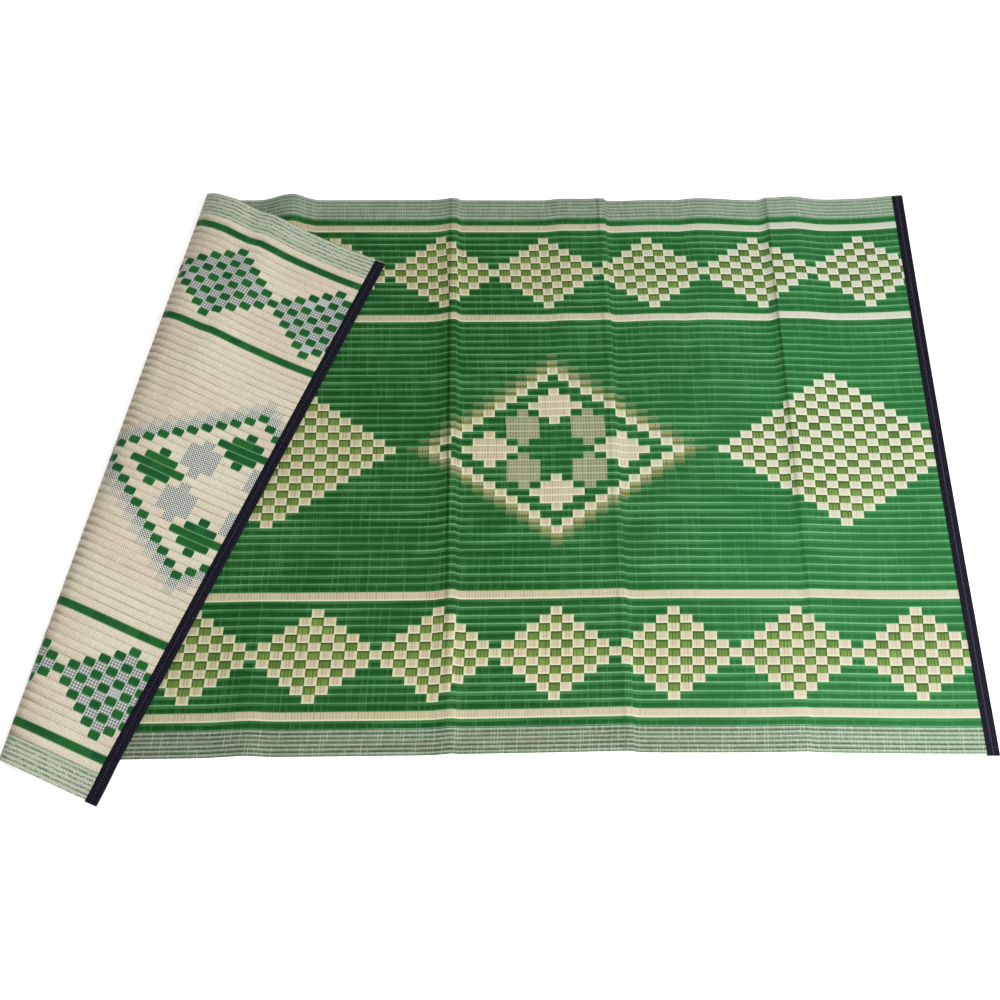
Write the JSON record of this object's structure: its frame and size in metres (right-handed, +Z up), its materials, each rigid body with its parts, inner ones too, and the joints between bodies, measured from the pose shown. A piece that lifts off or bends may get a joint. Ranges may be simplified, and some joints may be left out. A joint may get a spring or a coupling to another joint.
{
  "type": "woven plastic picnic mat",
  "caption": "Woven plastic picnic mat with a green and cream diamond pattern, laid out on the ground with one end folded back over it on a slant, and dark tape bound round both ends.",
  "frame": {"origin": "bottom centre of the mat as it lies, folded end included, on the ground", "axes": "+X along the mat's ribs towards its flat end, +Y across the ribs towards the back edge, +Z up"},
  "size_m": [1.6324, 1.2216, 0.0461],
  "materials": {
    "woven_straw": "satin",
    "binding_tape": "matte"
  },
  "bodies": {
    "root": {"mat_cloth": "woven_straw", "binding_flat_end": "binding_tape", "binding_folded_end": "binding_tape"}
  },
  "joints": []
}
